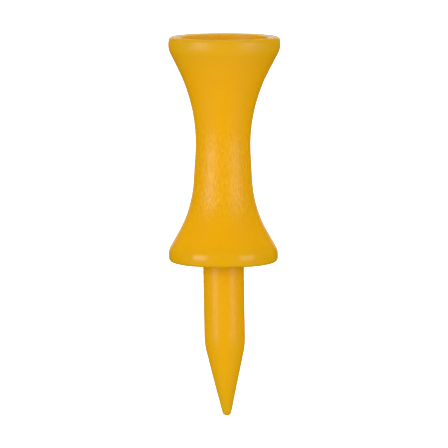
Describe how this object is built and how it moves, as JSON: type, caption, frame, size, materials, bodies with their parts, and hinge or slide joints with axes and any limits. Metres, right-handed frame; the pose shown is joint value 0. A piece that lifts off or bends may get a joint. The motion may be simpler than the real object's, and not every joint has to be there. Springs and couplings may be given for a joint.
{
  "type": "golf tee",
  "caption": "Yellow plastic castle golf tee: a ball cup on a flared, waisted head that stops on the turf, over a pointed ground spike.",
  "frame": {"origin": "centre of the head's flat underside, where the spike leaves it; the turf's surface when the tee is planted", "axes": "+Z along the tee's axis, from the spike towards the ball cup; the mould's parting plane is taken as the XZ plane, and the slight bow leans to +X"},
  "size_m": [0.0126, 0.0126, 0.043],
  "materials": {
    "yellow_plastic": "satin, finely textured by the mould"
  },
  "bodies": {
    "root": {"tee_body": "yellow_plastic"}
  },
  "joints": []
}
